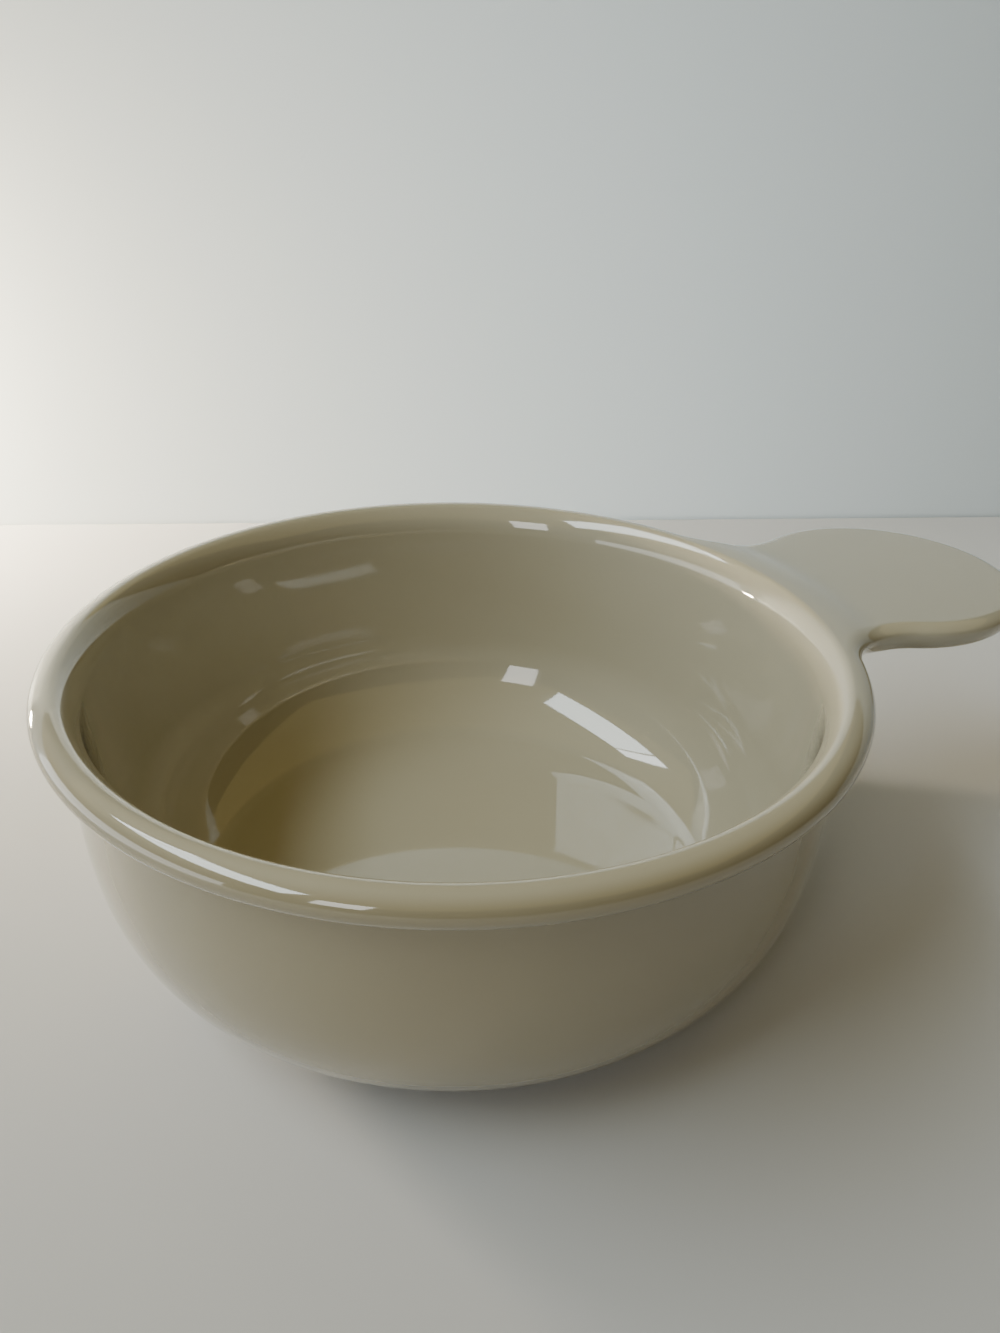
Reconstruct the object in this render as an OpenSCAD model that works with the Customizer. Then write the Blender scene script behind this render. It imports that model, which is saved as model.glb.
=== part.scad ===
// A glazed soup bowl with a rolled rim and one flat lug handle.
// Millimetres, Z up. The origin is on the bowl's axis, in the plane it stands on.
// The lug points along +X.

/* [Bowl] */
// height from the foot to the top of the rim
bowl_h = 57; // [52:1:64]
// height of the foot under the bowl's underside
foot_h = 2.6; // [2.2:0.1:3.4]
// thickness of the floor
floor_t = 3.2; // [3:0.1:4.2]
// radius of the round outside corner at the bottom
corner_r = 22.7; // [21:0.1:25]
// radius of the belly above the corner
belly_r = 40; // [34:1:48]
// radius of the slow curve under the straight wall
flank_r = 82; // [70:1:95]
// radius of the inside curve that leaves the wall
well_r = 24; // [22:0.5:27]
// radius of the tighter inside curve that runs into the floor
heel_r = 11; // [9:0.5:14]

/* [Rim] */
// width over the rolled rim
rim_d = 146; // [138:1:156]
// radius of the roll, and of the lug's edge
roll_r = 3; // [2.6:0.1:3.3]
// how far the roll stands out past the wall
roll_over = 4.7; // [4.3:0.1:5.2]
// radius of the tight edge at the inside of the lip
lip_r = 2.2; // [1.8:0.1:2.6]
// radius of the sweep from the lip down to the wall
sweep_r = 9; // [8:0.5:11]
// flat crest between the lip edge and the roll
crest_w = 0.6; // [0.4:0.1:1]

/* [Lug] */
// radius of the lug's round end
tip_r = 27.4; // [25:0.2:30]
// distance of that round end's centre from the bowl's axis
tip_x = 96; // [93:0.5:99]
// radius of the hollow necks that run into the roll
neck_r = 15; // [12:0.5:17]
// how much lower the lug's top lies than the rim
lug_drop = 1; // [0.6:0.1:1.3]
// run of the slope from the rim's crest to the lug's flat top
slope_w = 14; // [11:0.5:16]

/* [Foot] */
// width over the foot
foot_d = 96; // [90:1:100]
// width of the foot's ring
foot_w = 5; // [4.4:0.1:6]
// rounding of the foot's edges
foot_edge_r = 1; // [0.7:0.1:1.2]

/* [Hidden] */
$fn = 96;

rim_r = rim_d / 2;
wall_r = rim_r - roll_over;
// directions of the profile's joints, in degrees from level
flank_a = 8;
belly_a = 20;
wall_draft = 5;
heel_a = 58;
lip_a = 45;
// how far the roll reaches into the lip that carries it
roll_root = roll_r / 6;
// where the slope to the lug turns from round to hollow
turn_share = 0.68;

under_z = foot_h;
floor_z = under_z + floor_t;
foot_out = foot_d / 2;
foot_in = foot_out - foot_w;

// the roll, and the hollow under it
roll_x = rim_r - roll_r;
roll_z = bowl_h - roll_r;
cove_r = roll_over - roll_r;
seat_z = roll_z - roll_r - cove_r;

// outside profile, from the bottom up
corner_x = wall_r - flank_r * (1 - cos(flank_a))
    - belly_r * (cos(flank_a) - cos(belly_a)) - corner_r * cos(belly_a);
corner_z = under_z + corner_r;
belly_c = arc_end([corner_x, corner_z], corner_r - belly_r, -belly_a);
flank_c = arc_end(belly_c, belly_r - flank_r, -flank_a);

// inside profile: lip edge, sweep, drafted wall, well, heel
lip_c = [roll_x - crest_w, bowl_h - lip_r];
sweep_c = arc_end(lip_c, lip_r - sweep_r, 90 + lip_a);
sweep_end = arc_end(sweep_c, sweep_r, 180 - wall_draft);
heel_z = floor_z + heel_r;
well_z = heel_z + (well_r - heel_r) * sin(heel_a);
well_top = well_z - well_r * sin(wall_draft);
well_x = inner_at(well_top) - well_r * cos(wall_draft);
heel_x = well_x + (well_r - heel_r) * cos(heel_a);

// lug plan: the neck circles touch the rim and the round end
neck_out = rim_r + neck_r;
neck_tip = tip_r + neck_r;
neck_x = (neck_out * neck_out - neck_tip * neck_tip + tip_x * tip_x) / (2 * tip_x);
neck_y = sqrt(neck_out * neck_out - neck_x * neck_x);
rim_turn = atan2(neck_y, neck_x);
tip_turn = atan2(neck_y, neck_x - tip_x);

// lug section: as thick as the roll, with its widest line level with the roll's
lug_t = 2 * roll_r;
lug_top = bowl_h - lug_drop;

// slope from the crest to the lug's flat top: a round hill, then a hollow dale
slope_a = 2 * atan(lug_drop / slope_w);
hill_r = slope_w / sin(slope_a) * turn_share;
dale_r = slope_w / sin(slope_a) - hill_r;

// how many flats each curve of the profiles and of the lug's skin is made of
bend_steps = 3;
lip_steps = 5;
well_steps = 8;
heel_steps = 5;
edge_steps = 10;
neck_steps = 10;
tip_steps = 12;
web_steps = 10;

function arc_end(c, r, a) = [c[0] + r * cos(a), c[1] + r * sin(a)];
function inner_at(z) = sweep_end[0] - (sweep_end[1] - z) * tan(wall_draft);
// the points of an arc from a to b, without its first point where it goes on from another
function arc(c, r, a, b, steps, from = 0) = [for (k = [from:steps]) arc_end(c, r, a + (b - a) * k / steps)];

// the bowl's outer surface, from the axis up to the rim's seat
outer_line = concat([[0, under_z]],
    arc([corner_x, corner_z], corner_r, -90, -belly_a, well_steps),
    arc(belly_c, belly_r, -belly_a, -flank_a, bend_steps, 1),
    arc(flank_c, flank_r, -flank_a, 0, bend_steps, 1),
    [[wall_r, seat_z]]);
// the well, from the seat down to the axis
well_line = concat([[inner_at(seat_z), seat_z]],
    arc([well_x, well_z], well_r, -wall_draft, -heel_a, well_steps),
    arc([heel_x, heel_z], heel_r, -heel_a, -90, heel_steps, 1),
    [[0, floor_z]]);
// lip and crest, then down the face that the roll sits on, and the hollow under it
lip_line = concat([[inner_at(seat_z), seat_z]],
    arc(sweep_c, sweep_r, 180 - wall_draft, 90 + lip_a, lip_steps),
    arc(lip_c, lip_r, 90 + lip_a, 90, lip_steps, 1),
    [[roll_x, bowl_h]],
    arc([roll_x, seat_z], cove_r, 90, 180, bend_steps));

// the lug is a skin over stations, which run from the roll along a neck and round to the tip.
// plan gives the place at station k, out being the distance from the edge's inner line
stations = neck_steps + tip_steps;
function plan(k, out) = k <= neck_steps
    ? arc_end([neck_x, neck_y], neck_r + roll_r - out, rim_turn + 180 + (tip_turn - rim_turn) * k / neck_steps)
    : arc_end([tip_x, 0], tip_r - roll_r + out, tip_turn * (stations - k) / tip_steps);

// height of the lug's top over its run from the crest
function top_at(r) = let (run = min(1, max(0, (r - roll_x) / slope_w))) run < turn_share
    ? bowl_h - hill_r + sqrt(pow(hill_r, 2) - pow(run * slope_w, 2))
    : lug_top + dale_r - sqrt(pow(dale_r, 2) - pow((1 - run) * slope_w, 2));

// one point on station k's edge, from the top at t = 0 to the underside
function edge_point(k, t) = let (
        a = 90 - 180 * t / edge_steps,
        top = top_at(norm(plan(k, 0))),
        h = a > 0 ? top - roll_z : roll_z - top + lug_t,
        p = plan(k, roll_r * cos(a)))
    [p[0], p[1], roll_z + h * sin(a)];

// one point across the web at station k, t from -1 to 1. The root's flats just touch the rim
function web_point(k, t, under) = let (
        p = plan(k, 0),
        r = k == 0 ? roll_x / cos(rim_turn / web_steps) : norm(p),
        a = atan2(p[1], p[0]) * t)
    [r * cos(a), r * sin(a), top_at(norm(p)) - (under ? lug_t : 0)];

// a station's loop: over the top, round one edge, back under and round the other
loop = 2 * (web_steps + edge_steps);
function flip_y(p) = [p[0], -p[1], p[2]];
function loop_point(k, j) =
    j <= web_steps ? web_point(k, 1 - 2 * j / web_steps, false)
    : j < web_steps + edge_steps ? flip_y(edge_point(k, j - web_steps))
    : j <= 2 * web_steps + edge_steps ? web_point(k, 2 * (j - web_steps - edge_steps) / web_steps - 1, true)
    : edge_point(k, loop - j);
// at the tip both edges are one line, so its points are shared
function tip_index(j) =
    j <= web_steps ? 0
    : j < web_steps + edge_steps ? j - web_steps
    : j <= 2 * web_steps + edge_steps ? edge_steps
    : loop - j;
function index(k, j) = k < stations ? k * loop + j % loop : stations * loop + tip_index(j % loop);
function whole(f) = f[0] != f[1] && f[1] != f[2] && f[2] != f[0];

module bowl_body() {
    color("#a8a48c") rotate_extrude() polygon(concat(outer_line, well_line));
}

// the roll stops where the lug's necks take over its section
module rim_roll() {
    color("#b4b09a") {
        rotate_extrude() polygon(lip_line);
        rotate([0, 0, rim_turn]) rotate_extrude(angle = 360 - 2 * rim_turn)
            polygon(concat([[roll_x - roll_root, roll_z]],
                arc([roll_x, roll_z], roll_r, 90, -90, edge_steps)));
    }
}

module lug_handle() {
    points = concat(
        [for (k = [0:stations - 1]) for (j = [0:loop - 1]) loop_point(k, j)],
        [for (t = [0:edge_steps]) edge_point(stations, t)]);
    skin = [for (k = [0:stations - 1]) for (j = [0:loop - 1]) for (f = [
        [index(k, j), index(k + 1, j), index(k + 1, j + 1)],
        [index(k, j), index(k + 1, j + 1), index(k, j + 1)]]) if (whole(f)) f];
    root = [for (j = [0:web_steps - 1]) for (f = [
        [j, j + 1, loop - edge_steps - j],
        [j + 1, loop - edge_steps - j - 1, loop - edge_steps - j]]) f];
    near_end = [for (t = [1:edge_steps - 1]) [web_steps, web_steps + t, web_steps + t + 1]];
    far_end = [for (t = [1:edge_steps - 1]) [0, loop - t - 1, loop - t]];
    color("#9e9a82") polyhedron(points, concat(skin, root, near_end, far_end));
}

// the foot is as high as the underside above it, whatever its width
module foot_ring() {
    color("#8f8b76") rotate_extrude() difference() {
        union() {
            translate([foot_in, foot_edge_r]) square([foot_w, corner_z]);
            translate([foot_in + foot_edge_r, 0]) square([foot_w - 2 * foot_edge_r, corner_z]);
            for (x = [foot_in + foot_edge_r, foot_out - foot_edge_r])
                translate([x, foot_edge_r]) circle(foot_edge_r);
        }
        polygon(concat(outer_line, [[0, seat_z]]));
    }
}

bowl_body();
rim_roll();
lug_handle();
foot_ring();
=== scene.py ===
"""A glazed almond soup bowl with a rolled rim and one lug handle, dressed over its CAD model.

Sizes of the bowl are millimetres, turned into metres where a mesh is made. The boards and the
lights are placed in metres. The bowl stands on z = 0 with its axis on the origin, and the lug
points along +X.
"""

import math

import bpy
import numpy as np
from mathutils import Matrix, Vector


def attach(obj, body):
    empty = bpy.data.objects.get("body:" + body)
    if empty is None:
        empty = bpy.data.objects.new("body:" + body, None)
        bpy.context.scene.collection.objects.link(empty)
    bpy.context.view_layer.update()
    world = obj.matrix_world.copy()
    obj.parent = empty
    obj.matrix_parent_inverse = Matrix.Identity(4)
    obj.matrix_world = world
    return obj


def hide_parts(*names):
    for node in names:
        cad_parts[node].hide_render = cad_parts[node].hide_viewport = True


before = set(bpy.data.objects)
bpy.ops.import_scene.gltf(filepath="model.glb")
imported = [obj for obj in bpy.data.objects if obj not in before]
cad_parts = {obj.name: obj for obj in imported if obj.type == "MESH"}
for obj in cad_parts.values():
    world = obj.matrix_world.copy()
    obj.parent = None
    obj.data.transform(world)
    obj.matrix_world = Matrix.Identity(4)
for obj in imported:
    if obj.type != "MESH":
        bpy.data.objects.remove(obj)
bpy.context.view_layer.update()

# ---- Bowl body ------------------------------------------------------------------------------
# The real piece is one pressed wall and floor of pale stoneware, turned smooth while it was damp.
# The outside is a straight wall over a belly and a round corner. The inside is a drafted wall that
# runs through a wide curve and a tighter one into a flat floor. It is glazed all over but the foot.

MM = 0.001
RIM_TOP, SEAT_Z, FLOOR_Z, UNDERSIDE_Z = 57.0, 49.6, 5.8, 2.6
WALL_R = 68.3
DRAFT_DEG = 5.0
WALL_DRAFT = math.radians(DRAFT_DEG)

# outside, from the underside up: the corner, the belly and the flank touch at these directions
CORNER_C, CORNER_R = (44.148, 25.3), 22.7
BELLY_R, BELLY_DEG = 40.0, -20.0
FLANK_R, FLANK_DEG = 82.0, -8.0

# inside, from the crest down: the lip and the sweep of the rim, then the well and its heel
LIP_C, LIP_R, LIP_END_DEG = (69.4, 54.8), 2.2, 135.0
SWEEP_R, WELL_R = 9.0, 24.0
HEEL_R, HEEL_DEG = 11.0, 58.0

# in plan: the lug's round tip, and two hollow necks that touch both the rim's circle and the tip's
RIM_R, NECK_R, TIP_R, TIP_X = 73.0, 15.0, 27.4, 96.0
NECK_X = ((RIM_R + NECK_R) ** 2 - (TIP_R + NECK_R) ** 2 + TIP_X ** 2) / (2 * TIP_X)
NECK_Y = math.sqrt((RIM_R + NECK_R) ** 2 - NECK_X ** 2)
RIM_TURN = math.atan2(NECK_Y, NECK_X)
TIP_TURN = math.atan2(NECK_Y, NECK_X - TIP_X)

# directions round the bowl: exact steps under the lug, so that the rim, the wall and the lug meet
LUG_COLUMNS, REST_COLUMNS = 44, 480
under_lug = np.linspace(-RIM_TURN, RIM_TURN, LUG_COLUMNS + 1)
rest_of_rim = np.linspace(RIM_TURN, 2 * math.pi - RIM_TURN, REST_COLUMNS + 1)[1:-1]
ROUND = np.concatenate([under_lug, rest_of_rim])
ON_AXIS = 1e-6


def arc_line(centre, radius, start, end, steps, side=1.0):
    """Rows of radius, height and normal along an arc in degrees. side is -1 where it is hollow."""
    a = np.radians(np.linspace(start, end, steps + 1))
    n = np.stack([np.cos(a), np.sin(a)], 1)
    return np.hstack([np.array(centre) + radius * n, side * n])


def straight_line(p, q, normal, steps):
    """Rows of radius, height and normal along a straight line."""
    t = np.linspace(0.0, 1.0, steps + 1)[:, None]
    pts = np.array(p) * (1 - t) + np.array(q) * t
    return np.hstack([pts, np.repeat([np.array(normal, float) / np.hypot(*normal)], len(t), 0)])


def touching_centre(centre, radius, next_radius, turn):
    """Centre of the next arc of a line, which touches the last one at a direction in degrees."""
    a = math.radians(turn)
    return (centre[0] + (radius - next_radius) * math.cos(a),
            centre[1] + (radius - next_radius) * math.sin(a))


def smooth_mesh(name, points, faces, normals):
    """A smooth mesh from points in millimetres, with the given normals where they are numbers."""
    mesh = bpy.data.meshes.new(name)
    mesh.from_pydata((np.asarray(points) * MM).tolist(), [], faces)
    mesh.shade_smooth()
    own = np.array([v.normal[:] for v in mesh.vertices])
    given = ~np.isnan(normals[:, 0])
    own[given] = normals[given]
    own /= np.maximum(np.linalg.norm(own, axis=1), 1e-9)[:, None]
    mesh.normals_split_custom_set_from_vertices(own.tolist())
    piece = bpy.data.objects.new(name, mesh)
    bpy.context.collection.objects.link(piece)
    return piece


def add_face(faces, corners):
    """Adds a face, leaving out repeated corners, unless they leave less than a triangle."""
    corners = [int(x) for x in corners]
    corners = [x for t, x in enumerate(corners) if x != corners[t - 1]]
    if len(corners) > 2:
        faces.append(corners)


def turned(name, line, at_axis=False):
    """A closed surface of revolution from rows of radius, height and normal."""
    m = len(ROUND)
    c, s = np.cos(ROUND), np.sin(ROUND)
    pts, nrm, rings, first = [], [], [], 0
    for r, z, nr, nz in line:
        count = m if r > ON_AXIS else 1
        pts.append(np.stack([r * c, r * s, np.full(m, z)], 1)[:count])
        nrm.append(np.stack([nr * c, nr * s, np.full(m, nz)], 1)[:count])
        rings.append(first + np.arange(m) % count)
        first += count
    faces = []
    for i in range(len(line) - 1 if at_axis else len(line)):
        here, there = rings[i], rings[(i + 1) % len(line)]
        for j in range(m):
            q = (j + 1) % m
            add_face(faces, (here[j], here[q], there[q], there[j]))
    return smooth_mesh(name, np.vstack(pts), faces, np.vstack(nrm))


def add_node(nodes, kind, values=None, **settings):
    """A shader node with its settings and the values of its sockets."""
    node = nodes.new("ShaderNode" + kind)
    for setting, value in settings.items():
        setattr(node, setting, value)
    for socket, value in (values or {}).items():
        node.inputs[socket].default_value = value
    return node


def new_group(name, inputs, output):
    """A node group with its named sockets, and the two nodes that hold them."""
    group = bpy.data.node_groups.new(name, "ShaderNodeTree")
    for socket, kind in inputs.items():
        group.interface.new_socket(socket, in_out="INPUT", socket_type="NodeSocket" + kind)
    socket, kind = output
    group.interface.new_socket(socket, in_out="OUTPUT", socket_type="NodeSocket" + kind)
    return group, group.nodes.new("NodeGroupInput"), group.nodes.new("NodeGroupOutput")


def new_material(name, values):
    """A material with its Principled shader, whose plain values are set here."""
    mat = bpy.data.materials.new(name)
    mat.use_nodes = True
    shader = mat.node_tree.nodes["Principled BSDF"]
    for socket, value in values.items():
        shader.inputs[socket].default_value = value
    return mat, shader, mat.node_tree.nodes, mat.node_tree.links.new


def glaze_tone_group():
    """Glaze or clay colour, which turns to a second one in slow clouds and has rare specks."""
    group, i, o = new_group("glaze_tone", {"Glaze": "Color", "Cloud": "Color", "Speck": "Color",
                                           "Cloud size": "Float"}, ("Colour", "Color"))
    n, link = group.nodes, group.links.new
    place = add_node(n, "TexCoord")
    cloud = add_node(n, "TexNoise", {"Detail": 3.0, "Roughness": 0.55})
    link(place.outputs["Object"], cloud.inputs["Vector"])
    link(i.outputs["Cloud size"], cloud.inputs["Scale"])
    share = add_node(n, "MapRange", {"From Min": 0.35, "From Max": 0.75, "To Max": 0.55})
    link(cloud.outputs["Fac"], share.inputs["Value"])
    tone = add_node(n, "Mix", data_type="RGBA")
    link(share.outputs["Result"], tone.inputs["Factor"])
    link(i.outputs["Glaze"], tone.inputs["A"])
    link(i.outputs["Cloud"], tone.inputs["B"])
    # iron specks: dots about half a millimetre across, in a few cells of a cell pattern
    cells = add_node(n, "TexVoronoi", {"Scale": 95.0})
    link(place.outputs["Object"], cells.inputs["Vector"])
    split = add_node(n, "SeparateColor")
    link(cells.outputs["Color"], split.inputs["Color"])
    rare = add_node(n, "Math", {1: 0.955}, operation="GREATER_THAN")
    link(split.outputs["Red"], rare.inputs[0])
    dot = add_node(n, "MapRange", {"From Min": 0.035, "From Max": 0.012, "To Max": 0.75})
    link(cells.outputs["Distance"], dot.inputs["Value"])
    both = add_node(n, "Math", operation="MULTIPLY")
    link(rare.outputs["Value"], both.inputs[0])
    link(dot.outputs["Result"], both.inputs[1])
    out = add_node(n, "Mix", data_type="RGBA")
    link(both.outputs["Value"], out.inputs["Factor"])
    link(tone.outputs["Result"], out.inputs["A"])
    link(i.outputs["Speck"], out.inputs["B"])
    link(out.outputs["Result"], o.inputs["Colour"])
    return group


def glaze_skin_group():
    """Height of the glaze skin in metres: slow waves left by the turning, and an orange peel."""
    group, i, o = new_group("glaze_skin", {"Wave height": "Float", "Peel height": "Float"},
                            ("Height", "Float"))
    n, link = group.nodes, group.links.new
    place = add_node(n, "TexCoord")
    total = add_node(n, "Math", operation="ADD")
    for term, (scale, detail, socket) in enumerate(((42.0, 1.0, "Wave height"),
                                                    (420.0, 2.0, "Peel height"))):
        noise = add_node(n, "TexNoise", {"Scale": scale, "Detail": detail})
        link(place.outputs["Object"], noise.inputs["Vector"])
        part = add_node(n, "Math", operation="MULTIPLY")
        link(noise.outputs["Fac"], part.inputs[0])
        link(i.outputs[socket], part.inputs[1])
        link(part.outputs["Value"], total.inputs[term])
    link(total.outputs["Value"], o.inputs["Height"])
    return group


def painted_shade_group():
    """Painted shade: a darker tint multiplied in where a surface faces outwards from the axis."""
    group, i, o = new_group("painted_outward_shade", {"Glaze": "Color", "Shade tint": "Color"},
                            ("Colour", "Color"))
    n, link = group.nodes, group.links.new
    place = add_node(n, "TexCoord")
    level = add_node(n, "VectorMath", {1: (1.0, 1.0, 0.0)}, operation="MULTIPLY")
    link(place.outputs["Object"], level.inputs[0])
    outwards = add_node(n, "VectorMath", operation="NORMALIZE")
    link(level.outputs["Vector"], outwards.inputs[0])
    face = add_node(n, "NewGeometry")
    facing = add_node(n, "VectorMath", operation="DOT_PRODUCT")
    link(outwards.outputs["Vector"], facing.inputs[0])
    link(face.outputs["Normal"], facing.inputs[1])
    # painted shade: the share of the darker tint grows as the surface turns outwards
    shade_share = add_node(n, "MapRange", {"From Min": 0.2, "From Max": 0.9},
                    interpolation_type="SMOOTHSTEP")
    link(facing.outputs["Value"], shade_share.inputs["Value"])
    mix = add_node(n, "Mix", data_type="RGBA", blend_type="MULTIPLY")
    link(shade_share.outputs["Result"], mix.inputs["Factor"])
    link(i.outputs["Glaze"], mix.inputs["A"])
    link(i.outputs["Shade tint"], mix.inputs["B"])
    link(mix.outputs["Result"], o.inputs["Colour"])
    return group


glaze_tone, glaze_skin, painted_outward_shade = glaze_tone_group(), glaze_skin_group(), painted_shade_group()
ALMOND = {"Glaze": (0.44, 0.412, 0.318, 1), "Cloud": (0.418, 0.385, 0.287, 1),
          "Speck": (0.12, 0.085, 0.05, 1), "Cloud size": 22.0}


def almond_glaze():
    """The glossy almond glaze, with slow clouds, rare specks and fine marks left by cutlery."""
    mat, shader, n, link = new_material("almond_glaze", {"IOR": 1.52, "Coat Weight": 0.8,
                                                         "Coat Roughness": 0.03})
    tone = add_node(n, "Group", ALMOND, node_tree=glaze_tone)
    # painted shade: outward-facing glaze is multiplied by this darker tint, standing in for shade
    # on the outer walls
    outside = add_node(n, "Group", {"Shade tint": (0.72, 0.68, 0.58, 1)}, node_tree=painted_outward_shade)
    link(tone.outputs["Colour"], outside.inputs["Glaze"])
    link(outside.outputs["Colour"], shader.inputs["Base Color"])
    skin = add_node(n, "Group", {"Wave height": 0.00004, "Peel height": 0.0000022},
                    node_tree=glaze_skin)
    bump = add_node(n, "Bump", {"Strength": 1.0, "Distance": 1.0})
    link(skin.outputs["Height"], bump.inputs["Height"])
    link(bump.outputs["Normal"], shader.inputs["Normal"])
    # gloss: nearly a mirror, dulled in slow clouds and by the long thin marks
    place = add_node(n, "TexCoord")
    haze = add_node(n, "TexNoise", {"Scale": 60.0, "Detail": 4.0})
    link(place.outputs["Object"], haze.inputs["Vector"])
    dull = add_node(n, "MapRange", {"From Min": 0.3, "From Max": 0.8,
                                    "To Min": 0.035, "To Max": 0.075})
    link(haze.outputs["Fac"], dull.inputs["Value"])
    stretch = add_node(n, "Mapping", {"Rotation": (0.0, 0.0, 0.7),
                                      "Scale": (30.0, 900.0, 200.0)})
    link(place.outputs["Object"], stretch.inputs["Vector"])
    marks = add_node(n, "TexNoise", {"Scale": 1.0, "Detail": 2.0})
    link(stretch.outputs["Vector"], marks.inputs["Vector"])
    scratch = add_node(n, "MapRange", {"From Min": 0.66, "From Max": 0.72, "To Max": 0.04})
    link(marks.outputs["Fac"], scratch.inputs["Value"])
    rough = add_node(n, "Math", operation="ADD")
    link(dull.outputs["Result"], rough.inputs[0])
    link(scratch.outputs["Result"], rough.inputs[1])
    link(rough.outputs["Value"], shader.inputs["Roughness"])
    return mat


belly_c = touching_centre(CORNER_C, CORNER_R, BELLY_R, BELLY_DEG)
flank_c = touching_centre(belly_c, BELLY_R, FLANK_R, FLANK_DEG)
sweep_c = touching_centre(LIP_C, LIP_R, SWEEP_R, LIP_END_DEG)
sweep_end = (sweep_c[0] - SWEEP_R * math.cos(WALL_DRAFT),
             sweep_c[1] + SWEEP_R * math.sin(WALL_DRAFT))
INWARDS = (-math.cos(WALL_DRAFT), math.sin(WALL_DRAFT))


def inner_r(z):
    """Radius of the drafted inner wall at a height."""
    return sweep_end[0] - (sweep_end[1] - z) * math.tan(WALL_DRAFT)


heel_turn = math.radians(HEEL_DEG)
heel_z = FLOOR_Z + HEEL_R
well_z = heel_z + (WELL_R - HEEL_R) * math.sin(heel_turn)
well_top = well_z - WELL_R * math.sin(WALL_DRAFT)
well_x = inner_r(well_top) - WELL_R * math.cos(WALL_DRAFT)
heel_x = well_x + (WELL_R - HEEL_R) * math.cos(heel_turn)

body_line = np.vstack([
    straight_line((0.0, UNDERSIDE_Z), (CORNER_C[0], UNDERSIDE_Z), (0, -1), steps=20)[:-1],
    arc_line(CORNER_C, CORNER_R, -90, BELLY_DEG, steps=28)[:-1],
    arc_line(belly_c, BELLY_R, BELLY_DEG, FLANK_DEG, steps=8)[:-1],
    arc_line(flank_c, FLANK_R, FLANK_DEG, 0, steps=8)[:-1],
    straight_line((WALL_R, flank_c[1]), (WALL_R, SEAT_Z), (1, 0), steps=8),
    straight_line((inner_r(SEAT_Z), SEAT_Z), (inner_r(well_top), well_top), INWARDS, steps=12)[:-1],
    arc_line((well_x, well_z), WELL_R, -DRAFT_DEG, -HEEL_DEG, steps=24, side=-1.0)[:-1],
    arc_line((heel_x, heel_z), HEEL_R, -HEEL_DEG, -90, steps=14, side=-1.0)[:-1],
    straight_line((heel_x, FLOOR_Z), (0.0, FLOOR_Z), (0, 1), steps=24),
])
glaze = almond_glaze()
bowl_body = turned("bowl_body_glazed", body_line, at_axis=True)
bowl_body.data.materials.append(glaze)
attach(bowl_body, "root")
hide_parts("bowl_body")

# ---- Rolled rim -----------------------------------------------------------------------------
# The potter folds the wall's top edge outwards into a soft roll, so the rim is a flattened bead
# with a shallow hollow under it and a tighter edge on the inside. Where the lug is luted on, the
# bead stops and the lug's own edge goes on from it.

ROLL_C = (69.4, 54.2)
ROLL_OUT, ROLL_UP = 3.6, 2.8
ROLL_LOW_X, ROLL_LOW_W, ROLL_DOWN = 70.4, 2.6, 2.5
ROLL_BASE_Z = ROLL_C[1] - ROLL_DOWN
COVE_R = 2.1
ROLL_STEPS = 18


def oval_line(centre, wide, high, start, end, steps):
    """Rows of radius, height and normal along a quarter of an oval, in degrees."""
    a = np.radians(np.linspace(start, end, steps + 1))
    pts = np.stack([centre[0] + wide * np.cos(a), centre[1] + high * np.sin(a)], 1)
    n = np.stack([np.cos(a) / wide, np.sin(a) / high], 1)
    return np.hstack([pts, n / np.linalg.norm(n, axis=1)[:, None]])


def packed_mesh(name, points, number, faces, normals):
    """A smooth mesh of the points that stay in use once shared ones have one number."""
    used = np.unique(number)
    new = np.full(len(points), -1)
    new[used] = np.arange(len(used))
    faces = [[int(new[x]) for x in face] for face in faces]
    return smooth_mesh(name, points[used], faces, normals[used])


cove_line = arc_line((ROLL_LOW_X, SEAT_Z), COVE_R, 180, 90, steps=10, side=-1.0)
inner_line = np.vstack([
    arc_line(LIP_C, LIP_R, 90, LIP_END_DEG, steps=10)[1:-1],
    arc_line(sweep_c, SWEEP_R, LIP_END_DEG, 180 - DRAFT_DEG, steps=14)[:-1],
    straight_line(sweep_end, (inner_r(SEAT_Z), SEAT_Z), INWARDS, steps=2),
])
roll_line = np.vstack([
    oval_line((ROLL_LOW_X, ROLL_C[1]), ROLL_LOW_W, ROLL_DOWN, -90, 0, ROLL_STEPS)[:-1],
    oval_line(ROLL_C, ROLL_OUT, ROLL_UP, 0, 90, ROLL_STEPS),
])
# under the lug a straight cut stands in for the bead, with the bead's normals at its two ends
root_line = straight_line((ROLL_LOW_X, ROLL_BASE_Z), (ROLL_C[0], RIM_TOP), (1, 0), 2 * ROLL_STEPS)
root_line[[0, -1], 2:] = roll_line[[0, -1], 2:]


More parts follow.
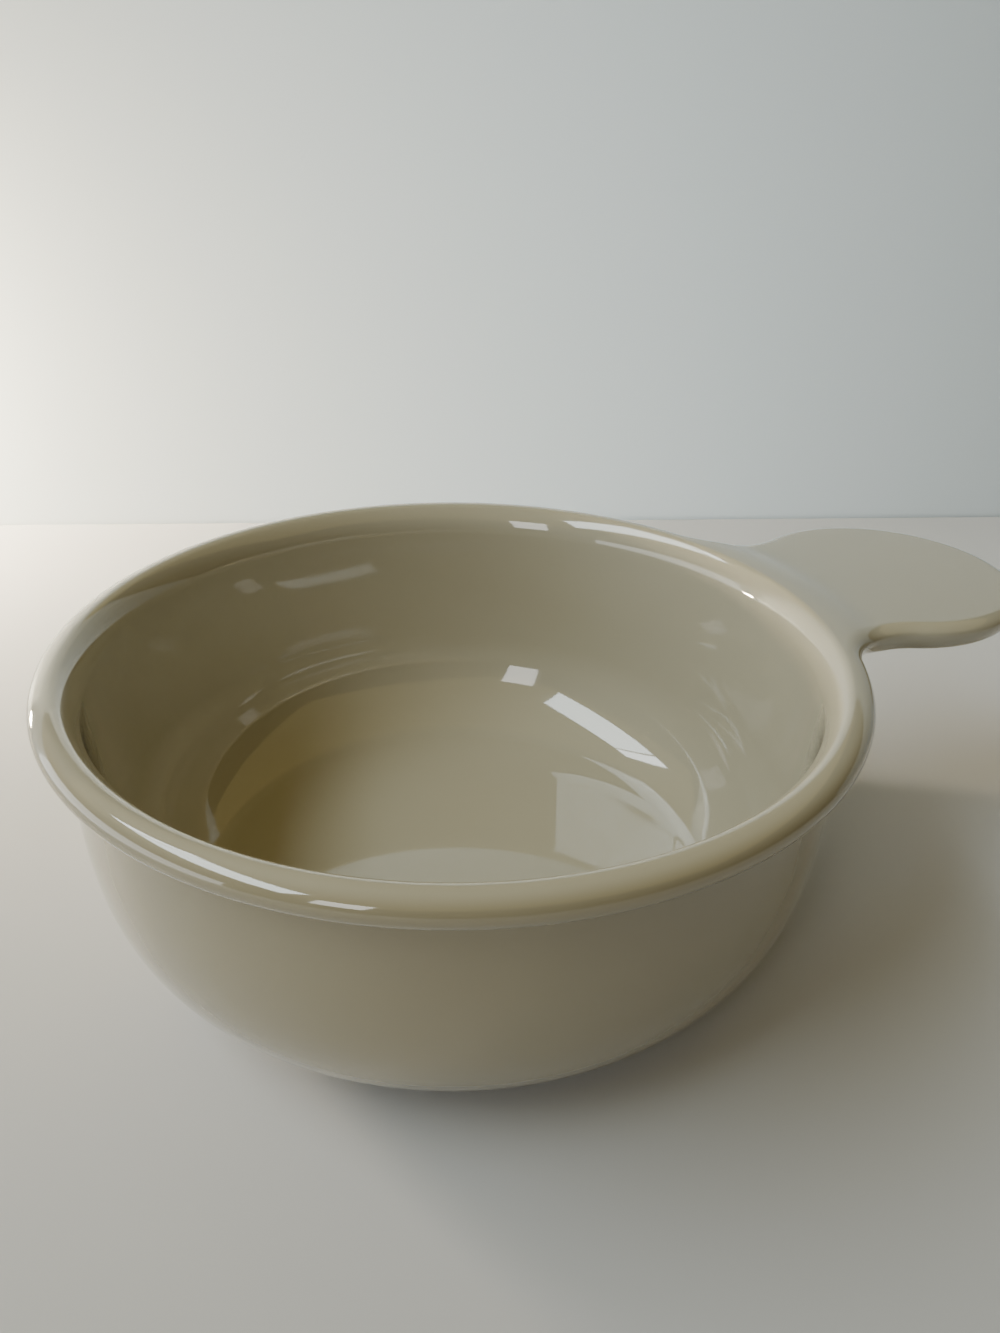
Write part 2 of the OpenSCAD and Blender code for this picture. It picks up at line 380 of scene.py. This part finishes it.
def rim_mesh():
    """The rim's sections, with the bead left out between the lug's two necks."""
    full = np.vstack([cove_line[:-1], roll_line, inner_line])
    cut = np.vstack([cove_line[:-1], root_line, inner_line])
    sections = [(a, cut) for a in under_lug] + [(under_lug[-1], full)]
    sections += [(a, full) for a in rest_of_rim] + [(under_lug[0], full)]
    n, m = len(full), len(sections)
    pts, nrm = np.zeros((m, n, 3)), np.zeros((m, n, 3))
    for j, (a, line) in enumerate(sections):
        c, s = math.cos(a), math.sin(a)
        pts[j] = np.stack([line[:, 0] * c, line[:, 0] * s, line[:, 1]], 1)
        nrm[j] = np.stack([line[:, 2] * c, line[:, 2] * s, line[:, 3]], 1)
    # sections that stand at the same place share their points outside the bead
    number = np.arange(m * n).reshape(m, n)
    bead_start, bead_end = len(cove_line) - 1, len(cove_line) - 1 + 2 * ROLL_STEPS
    for late, early in ((LUG_COLUMNS + 1, LUG_COLUMNS), (m - 1, 0)):
        number[late, :bead_start + 1] = number[early, :bead_start + 1]
        number[late, bead_end:] = number[early, bead_end:]
    faces = []
    for j in range(m):
        k = (j + 1) % m
        for i in range(n):
            q = (i + 1) % n
            add_face(faces, (number[j, i], number[k, i], number[k, q], number[j, q]))
    return packed_mesh("rim_roll_glazed", pts.reshape(-1, 3), number, faces, nrm.reshape(-1, 3))


rim_roll = rim_mesh()
rim_roll.data.materials.append(glaze)
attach(rim_roll, "root")
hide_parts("rim_roll")

# ---- Lug handle -----------------------------------------------------------------------------
# A flat slab of the same clay, cut to a round end and luted to the outside of the rim. Its edge
# grows out of the rim's bead along two hollow necks, and its top falls a little over a millimetre
# from the rim's crest in one soft slope to a level thumb rest.

LUG_TOP, LUG_WIDEST, LUG_LOW = 55.7, 53.8, 50.0
EDGE_W, EDGE_LOW_W = 3.0, 3.3
SLOPE_W, TURN_SHARE = 12.0, 0.62
GROW_SHARE, LEAVE_SHARE = 1.3, 0.5
NECK_STEPS, TIP_STEPS = 34, 60


def fall(away):
    """Share of the slope's fall at a distance from its start: a round hill, then a hollow dale."""
    run = np.clip(away / SLOPE_W, 0.0, 1.0)
    dale = 1.0 - (1.0 - run) ** 2 / (1.0 - TURN_SHARE)
    return np.where(run < TURN_SHARE, run ** 2 / TURN_SHARE, dale)


def ease(x):
    """0 to 1 with level ends."""
    x = min(max(x, 0.0), 1.0)
    return x * x * (3.0 - 2.0 * x)


def lug_outline(k):
    """Place and outward normal of the lug's widest line at station k, on the +Y side."""
    if k <= NECK_STEPS:
        a = RIM_TURN + math.pi + (TIP_TURN - RIM_TURN) * k / NECK_STEPS
        n = -np.array([math.cos(a), math.sin(a)])
        return np.array([NECK_X, NECK_Y]) - NECK_R * n, n
    b = TIP_TURN * (NECK_STEPS + TIP_STEPS - k) / TIP_STEPS
    n = np.array([math.cos(b), math.sin(b)])
    return np.array([TIP_X, 0.0]) + TIP_R * n, n


def lug_loop(k):
    """Loop of points at station k: over the top, round one edge, back under and up the other."""
    place, n = lug_outline(k)
    grown = ease(k / (GROW_SHARE * NECK_STEPS))
    near = ease(k / (LEAVE_SHARE * NECK_STEPS))
    wide = ROLL_OUT + (EDGE_W - ROLL_OUT) * grown
    low_wide = ROLL_LOW_W + (EDGE_LOW_W - ROLL_LOW_W) * grown
    widest = ROLL_C[1] + (LUG_WIDEST - ROLL_C[1]) * grown

    def top(r):
        return RIM_TOP - near * (RIM_TOP - LUG_TOP) * fall(r - ROLL_C[0])

    def under(r):
        return ROLL_BASE_Z - near * (ROLL_BASE_Z - LUG_LOW) * fall(r - ROLL_LOW_X)

    # upper quarter, from the flat out to the widest line, then the lower quarter back in
    at_edge = float(np.linalg.norm(place))
    theta = np.linspace(0.0, math.pi / 2, ROLL_STEPS + 1)
    out = place[None] + n[None] * (wide * (np.sin(theta) - 1.0))[:, None]
    z = top(np.linalg.norm(out, axis=1)) - (top(at_edge) - widest) * (1.0 - np.cos(theta))
    upper = np.column_stack([out, z])
    out = place[None] + n[None] * (low_wide * (np.cos(theta) - 1.0))[:, None]
    z = under(np.linalg.norm(out, axis=1)) + (widest - under(at_edge)) * (1.0 - np.sin(theta))
    edge = np.vstack([upper, np.column_stack([out, z])[1:]])
    rows = []
    for p, height, way in ((edge[0], top, 1), (edge[-1], under, -1)):
        r, a = math.hypot(p[0], p[1]), math.atan2(p[1], p[0])
        a = way * np.linspace(a, -a, LUG_COLUMNS + 1)
        rows.append(np.column_stack([r * np.cos(a), r * np.sin(a), np.full(len(a), height(r))]))
    other = edge * np.array([1.0, -1.0, 1.0])
    return np.vstack([rows[0], other[1:-1], rows[1], edge[-2:0:-1]])


def lug_mesh():
    """The loops from the rim to the tip, closed where the lug lies on the rim."""
    loops = np.array([lug_loop(k) for k in range(NECK_STEPS + TIP_STEPS + 1)])
    stations, size = loops.shape[:2]
    number = np.arange(stations * size).reshape(stations, size)
    # m is the end of a loop's top row, and low the start of its bottom row
    m, low = LUG_COLUMNS, LUG_COLUMNS + 2 * ROLL_STEPS
    # at the tip both edges are one line
    tip = number[-1].copy()
    number[-1, :m + 1] = tip[0]
    number[-1, low:low + m + 1] = tip[low]
    for i in range(1, 2 * ROLL_STEPS):
        number[-1, size - i] = tip[m + i]
    faces = []
    for k in range(stations - 1):
        for j in range(size):
            q = (j + 1) % size
            add_face(faces, (number[k, j], number[k, q], number[k + 1, q], number[k + 1, j]))
    # the root that lies on the rim: a strip between the rows, and a flat flap at each end
    first = number[0]
    for j in range(m):
        add_face(faces, (first[j], first[low + m - j], first[low + m - j - 1], first[j + 1]))
    add_face(faces, first[low:m - 1:-1])
    add_face(faces, [first[0], *first[:low + m - 1:-1]])
    # on the seam with the rim the normals are the rim's own, elsewhere the mesh's
    normals = np.full((stations * size, 3), np.nan)
    for j in range(size):
        if j <= m:
            v = (0.0, 1.0)
        elif j < low:
            v = roll_line[2 * ROLL_STEPS - (j - m), 2:]
        elif j <= low + m:
            v = (0.0, -1.0)
        else:
            v = roll_line[2 * ROLL_STEPS - (size - j), 2:]
        a = math.atan2(loops[0, j, 1], loops[0, j, 0])
        normals[first[j]] = (v[0] * math.cos(a), v[0] * math.sin(a), v[1])
    return packed_mesh("lug_handle_glazed", loops.reshape(-1, 3), number, faces, normals)


lug_handle = lug_mesh()
lug_handle.data.materials.append(glaze)
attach(lug_handle, "root")
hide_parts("lug_handle")

# ---- Foot ring ------------------------------------------------------------------------------
# The foot is turned from the thick underside once the bowl is leather hard. Its sides take the
# glaze, and the ring that it stands on is wiped bare, so that the bowl doesn't stick to the kiln
# shelf. The bare clay is a fine buff stoneware.

FOOT_OUT, FOOT_IN, FOOT_EDGE = 48.0, 43.0, 1.0


def underside_z(r):
    """Height of the underside at a radius."""
    if r <= CORNER_C[0]:
        return UNDERSIDE_Z
    return CORNER_C[1] - math.sqrt(CORNER_R ** 2 - (r - CORNER_C[0]) ** 2)


def foot_clay():
    """Buff stoneware, bare and slightly gritty where it stands and glazed on its sides."""
    mat, shader, n, link = new_material("foot_clay", {"IOR": 1.5})
    place = add_node(n, "TexCoord")
    tone = add_node(n, "Group", ALMOND, node_tree=glaze_tone)
    bare = add_node(n, "Group", {"Glaze": (0.56, 0.44, 0.30, 1), "Cloud": (0.46, 0.34, 0.22, 1),
                                 "Speck": (0.10, 0.07, 0.045, 1), "Cloud size": 90.0},
                    node_tree=glaze_tone)
    # the wiped line lies about two thirds of a millimetre up and wanders a little
    split = add_node(n, "SeparateXYZ")
    link(place.outputs["Object"], split.inputs["Vector"])
    wander = add_node(n, "TexNoise", {"Scale": 120.0, "Detail": 3.0})
    link(place.outputs["Object"], wander.inputs["Vector"])
    shift = add_node(n, "Math", {1: -0.0006}, operation="MULTIPLY_ADD")
    link(wander.outputs["Fac"], shift.inputs[0])
    link(split.outputs["Z"], shift.inputs[2])
    edge = add_node(n, "MapRange", {"From Min": 0.0003, "From Max": 0.00042})
    link(shift.outputs["Value"], edge.inputs["Value"])
    colour = add_node(n, "Mix", data_type="RGBA")
    link(edge.outputs["Result"], colour.inputs["Factor"])
    link(bare.outputs["Colour"], colour.inputs["A"])
    link(tone.outputs["Colour"], colour.inputs["B"])
    link(colour.outputs["Result"], shader.inputs["Base Color"])
    rough = add_node(n, "MapRange", {"To Min": 0.72, "To Max": 0.06})
    link(edge.outputs["Result"], rough.inputs["Value"])
    link(rough.outputs["Result"], shader.inputs["Roughness"])
    grit = add_node(n, "TexNoise", {"Scale": 1500.0, "Detail": 2.0})
    link(place.outputs["Object"], grit.inputs["Vector"])
    depth = add_node(n, "MapRange", {"To Min": 0.00008, "To Max": 0.0})
    link(edge.outputs["Result"], depth.inputs["Value"])
    height = add_node(n, "Math", operation="MULTIPLY")
    link(grit.outputs["Fac"], height.inputs[0])
    link(depth.outputs["Result"], height.inputs[1])
    bump = add_node(n, "Bump", {"Distance": 1.0})
    link(height.outputs["Value"], bump.inputs["Height"])
    link(bump.outputs["Normal"], shader.inputs["Normal"])
    return mat


inner_edge, outer_edge = FOOT_IN + FOOT_EDGE, FOOT_OUT - FOOT_EDGE
foot_line = np.vstack([
    straight_line((FOOT_IN, underside_z(FOOT_IN)), (FOOT_IN, FOOT_EDGE), (-1, 0), steps=6)[:-1],
    arc_line((inner_edge, FOOT_EDGE), FOOT_EDGE, 180, 270, steps=8)[:-1],
    straight_line((inner_edge, 0.0), (outer_edge, 0.0), (0, -1), steps=8)[:-1],
    arc_line((outer_edge, FOOT_EDGE), FOOT_EDGE, -90, 0, steps=8)[:-1],
    straight_line((FOOT_OUT, FOOT_EDGE), (FOOT_OUT, underside_z(FOOT_OUT)), (1, 0), steps=6),
])
foot_ring = turned("foot_ring_clay", foot_line)
foot_ring.data.materials.append(foot_clay())
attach(foot_ring, "root")
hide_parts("foot_ring")

# ---- Table and backdrop ---------------------------------------------------------------------
# A plain pale board under the bowl and another upright behind it, both matt. The upright one has
# a soft round glow, as from a bright room. Neither is part of the object.

CAMERA_AZIMUTH = math.radians(67.216)
ahead = Vector((math.cos(CAMERA_AZIMUTH), math.sin(CAMERA_AZIMUTH), 0))
aside = Vector((math.sin(CAMERA_AZIMUTH), -math.cos(CAMERA_AZIMUTH), 0))

BACK_AHEAD, BACK_SLANT = 0.209, 0.0892
TABLE_DROP = 0.00002
SLIT, SLIT_DROP = 0.0011, 0.003
NEAR_EDGE, BOARD, BACK_HIGH = 0.9, 1.6, 0.2
TABLE_COLOUR, BACK_COLOUR, GLOW = (0.55, 0.56, 0.585), (0.58, 0.64, 0.69), (0.25, 0.33, 0.37)
GLOW_ALONG, GLOW_UP = 0.02, 0.07
MOTTLE_SHARE, GLOW_REST_SHARE = 0.94, 0.3


def pale_board(name, corners, colour, glow=None, glow_at=None):
    """A flat matt board with a faint mottle, and where it is asked for a soft round glow."""
    mesh = bpy.data.meshes.new(name)
    mesh.from_pydata(corners, [], [[0, 1, 2, 3]])
    board = bpy.data.objects.new(name, mesh)
    bpy.context.collection.objects.link(board)
    mat, shader, n, link = new_material(name, {"Roughness": 0.75})
    place = add_node(n, "TexCoord")
    noise = add_node(n, "TexNoise", {"Scale": 6.0, "Detail": 4.0})
    link(place.outputs["Object"], noise.inputs["Vector"])
    mottle = [c * MOTTLE_SHARE for c in colour]
    tone = add_node(n, "Mix", {"A": (*colour, 1), "B": (*mottle, 1)}, data_type="RGBA")
    link(noise.outputs["Fac"], tone.inputs["Factor"])
    link(tone.outputs["Result"], shader.inputs["Base Color"])
    if glow:
        away = add_node(n, "VectorMath", {1: glow_at}, operation="DISTANCE")
        link(place.outputs["Object"], away.inputs[0])
        fade = add_node(n, "MapRange", {"From Min": 0.02, "From Max": 0.27},
                        interpolation_type="SMOOTHSTEP")
        link(away.outputs["Value"], fade.inputs["Value"])
        rest = [c * GLOW_REST_SHARE for c in glow]
        shine = add_node(n, "Mix", {"A": (*glow, 1), "B": (*rest, 1)}, data_type="RGBA")
        link(fade.outputs["Result"], shine.inputs["Factor"])
        link(shine.outputs["Result"], shader.inputs["Emission Color"])
        shader.inputs["Emission Strength"].default_value = 1.0
    mesh.materials.append(mat)


along_back = (aside + ahead * BACK_SLANT).normalized()
back_foot = ahead * BACK_AHEAD + Vector((0, 0, -TABLE_DROP))
pale_board("table", [-ahead * NEAR_EDGE - aside * BOARD, -ahead * NEAR_EDGE + aside * BOARD,
                     back_foot + along_back * BOARD, back_foot - along_back * BOARD],
           TABLE_COLOUR)
# the upright board stands a narrow slit behind the table's edge and goes down past it
behind_slit = back_foot + ahead * SLIT + Vector((0, 0, -SLIT_DROP))
back_top = Vector((0, 0, BACK_HIGH))
pale_board("backdrop", [behind_slit - along_back * BOARD, behind_slit + along_back * BOARD,
                        behind_slit + along_back * BOARD + back_top,
                        behind_slit - along_back * BOARD + back_top],
           BACK_COLOUR, GLOW, back_foot - along_back * GLOW_ALONG + Vector((0, 0, GLOW_UP)))

# ---- Light ----------------------------------------------------------------------------------
# Plain soft studio light. A large cool softbox and a narrow one stand high at the left, with a
# white card low under them, a small box at the camera's left shoulder and a small warm lamp where
# the boards meet. A warm sheet overhead fills the shadows, and the air adds a trace of light.

BOX_PLACE = {"azimuth": math.radians(164.0), "away": 2.2, "heights": (2.2, 3.685)}
CARD_PLACE = {"azimuth": math.radians(157), "away": 0.5, "heights": (0.005, 0.20)}
SHOULDER_AT, BOWL_MIDDLE = (-0.6334, -0.5906, 0.5), (0, 0, 0.02)
SHEET_AT, SHEET_SIDE = (0, 0, 2.4), 6.0
CORNER_AT = -aside * 0.30 + ahead * 0.14 + Vector((0, 0, 0.06))
CORNER_TO = -aside * 0.24 + ahead * 0.19 + Vector((0, 0, 0.03))
AIR_COLOUR, AIR_STRENGTH = (1.0, 0.9, 0.75, 1), 0.02


def soft_light(name, at, to, size, watts, colour):
    """A rectangular area light."""
    data = bpy.data.lights.new(name, "AREA")
    data.shape = "RECTANGLE"
    data.size, data.size_y = size
    data.energy = watts
    data.color = colour
    lamp = bpy.data.objects.new(name, data)
    lamp.location = at
    lamp.rotation_euler = (Vector(to) - Vector(at)).to_track_quat("-Z", "Y").to_euler()
    bpy.context.collection.objects.link(lamp)


def standing_light(name, azimuth, away, sides, heights, watts, colour):
    """An upright area light that faces the bowl's axis, with its sides and heights in metres."""
    (left, right), (low, high) = sides, heights
    out = Vector((math.cos(azimuth), math.sin(azimuth), 0))
    side = Vector((-out.y, out.x, 0))
    at = out * away + side * (left + right) / 2 + Vector((0, 0, (low + high) / 2))
    soft_light(name, at, at - out, (right - left, high - low), watts, colour)


standing_light("big_softbox", sides=(-0.814, 1.879), watts=122.0, colour=(0.88, 0.98, 1.0),
               **BOX_PLACE)
standing_light("narrow_softbox", sides=(-1.232, -0.869), watts=19.0, colour=(0.92, 0.99, 1.0),
               **BOX_PLACE)
standing_light("low_card", sides=(-0.45, 0.45), watts=1.5, colour=(0.98, 1.0, 0.98), **CARD_PLACE)
soft_light("shoulder_softbox", SHOULDER_AT, BOWL_MIDDLE, size=(0.20, 0.34), watts=1.3,
           colour=(1.0, 1.0, 0.96))
soft_light("overhead_sheet", SHEET_AT, (0, 0, 0), size=(SHEET_SIDE, SHEET_SIDE), watts=38.0,
           colour=(1.0, 0.78, 0.27))
soft_light("corner_glow", CORNER_AT, CORNER_TO, size=(0.04, 0.04), watts=4.6,
           colour=(1.0, 0.82, 0.54))

air = bpy.data.worlds.new("studio_air")
air.use_nodes = True
air.node_tree.nodes["Background"].inputs["Color"].default_value = AIR_COLOUR
air.node_tree.nodes["Background"].inputs["Strength"].default_value = AIR_STRENGTH
bpy.context.scene.world = air

# ---- Camera ---------------------------------------------------------------------------------
# A phone's main camera, close in and looking down, leaning a little to one side. Its place and
# turns are those that a pinhole camera needs to put the bowl where the photo has it.

CAMERA_AT = Vector((-59.29, -161.13, 143.43)) * MM
PITCH, ROLL = math.radians(28.438), math.radians(1.355)
SENSOR_W, LENS, CLIP_START = 36.0, 28.63, 0.01

look = Vector((math.cos(CAMERA_AZIMUTH) * math.cos(PITCH),
               math.sin(CAMERA_AZIMUTH) * math.cos(PITCH), -math.sin(PITCH)))
level_up = aside.cross(look)
right = aside * math.cos(ROLL) + level_up * math.sin(ROLL)
up = level_up * math.cos(ROLL) - aside * math.sin(ROLL)
lens = bpy.data.cameras.new("camera")
lens.sensor_width, lens.lens, lens.clip_start = SENSOR_W, LENS, CLIP_START
camera = bpy.data.objects.new("camera", lens)
turned_to = Matrix((right, up, -look)).transposed().to_4x4()
camera.matrix_world = Matrix.Translation(CAMERA_AT) @ turned_to
bpy.context.collection.objects.link(camera)
bpy.context.scene.camera = camera
